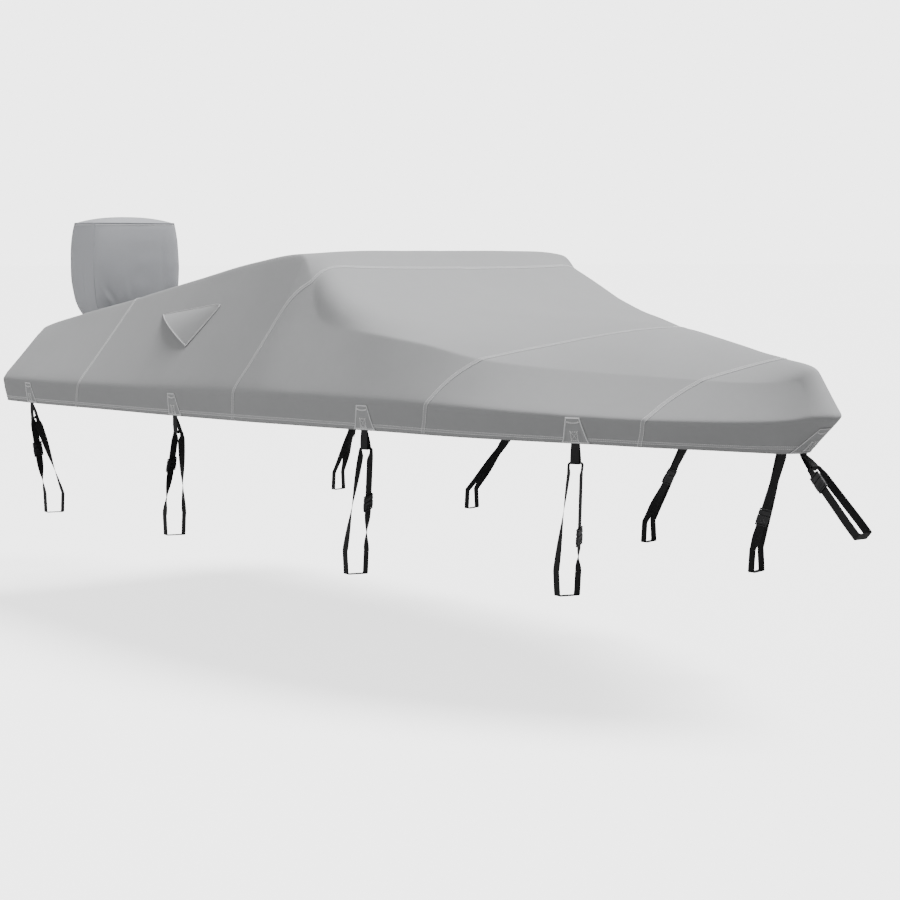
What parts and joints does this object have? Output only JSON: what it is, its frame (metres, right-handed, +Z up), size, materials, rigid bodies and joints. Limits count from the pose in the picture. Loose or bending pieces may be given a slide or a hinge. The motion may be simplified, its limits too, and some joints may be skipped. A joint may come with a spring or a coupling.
{
  "type": "boat cover with motor hood",
  "caption": "Fitted boat cover in its pitched shape: hollow cloth shell with a rim crease and hem, patch tabs with webbing loops and buckled tie-down straps, side vents, separate motor hood.",
  "frame": {"origin": "underside of the cloth at the middle of the cross ridge, on the middle plane", "axes": "+X to the bow along the middle plane, +Z up, so starboard is -Y"},
  "size_m": [6.4373, 2.3998, 1.7438],
  "materials": {
    "grey_woven_cloth": "matt, plain woven polyester",
    "hood_woven_cloth": "matt, plain woven polyester, a little bluer",
    "patch_cloth": "matt, plain woven polyester",
    "black_webbing": "matt woven webbing",
    "black_plastic": "moulded, satin"
  },
  "bodies": {
    "root": {"cover": "grey_woven_cloth", "motor_hood": "hood_woven_cloth", "vent_starboard": "grey_woven_cloth", "vent_port": "grey_woven_cloth", "tab_starboard_1": "patch_cloth", "loop_starboard_1": "black_webbing", "strap_starboard_1": "black_webbing", "buckle_starboard_1": "black_plastic", "tab_starboard_2": "patch_cloth", "loop_starboard_2": "black_webbing", "strap_starboard_2": "black_webbing", "buckle_starboard_2": "black_plastic", "tab_starboard_3": "patch_cloth", "loop_starboard_3": "black_webbing", "strap_starboard_3": "black_webbing", "buckle_starboard_3": "black_plastic", "tab_starboard_4": "patch_cloth", "loop_starboard_4": "black_webbing", "strap_starboard_4": "black_webbing", "buckle_starboard_4": "black_plastic", "tab_port_1": "patch_cloth", "loop_port_1": "black_webbing", "strap_port_1": "black_webbing", "buckle_port_1": "black_plastic", "tab_port_2": "patch_cloth", "loop_port_2": "black_webbing", "strap_port_2": "black_webbing", "buckle_port_2": "black_plastic", "tab_port_3": "patch_cloth", "loop_port_3": "black_webbing", "strap_port_3": "black_webbing", "buckle_port_3": "black_plastic", "tab_port_4": "patch_cloth", "loop_port_4": "black_webbing", "strap_port_4": "black_webbing", "buckle_port_4": "black_plastic", "tab_bow": "patch_cloth", "loop_bow": "black_webbing", "strap_bow": "black_webbing", "buckle_bow": "black_plastic"}
  },
  "joints": []
}
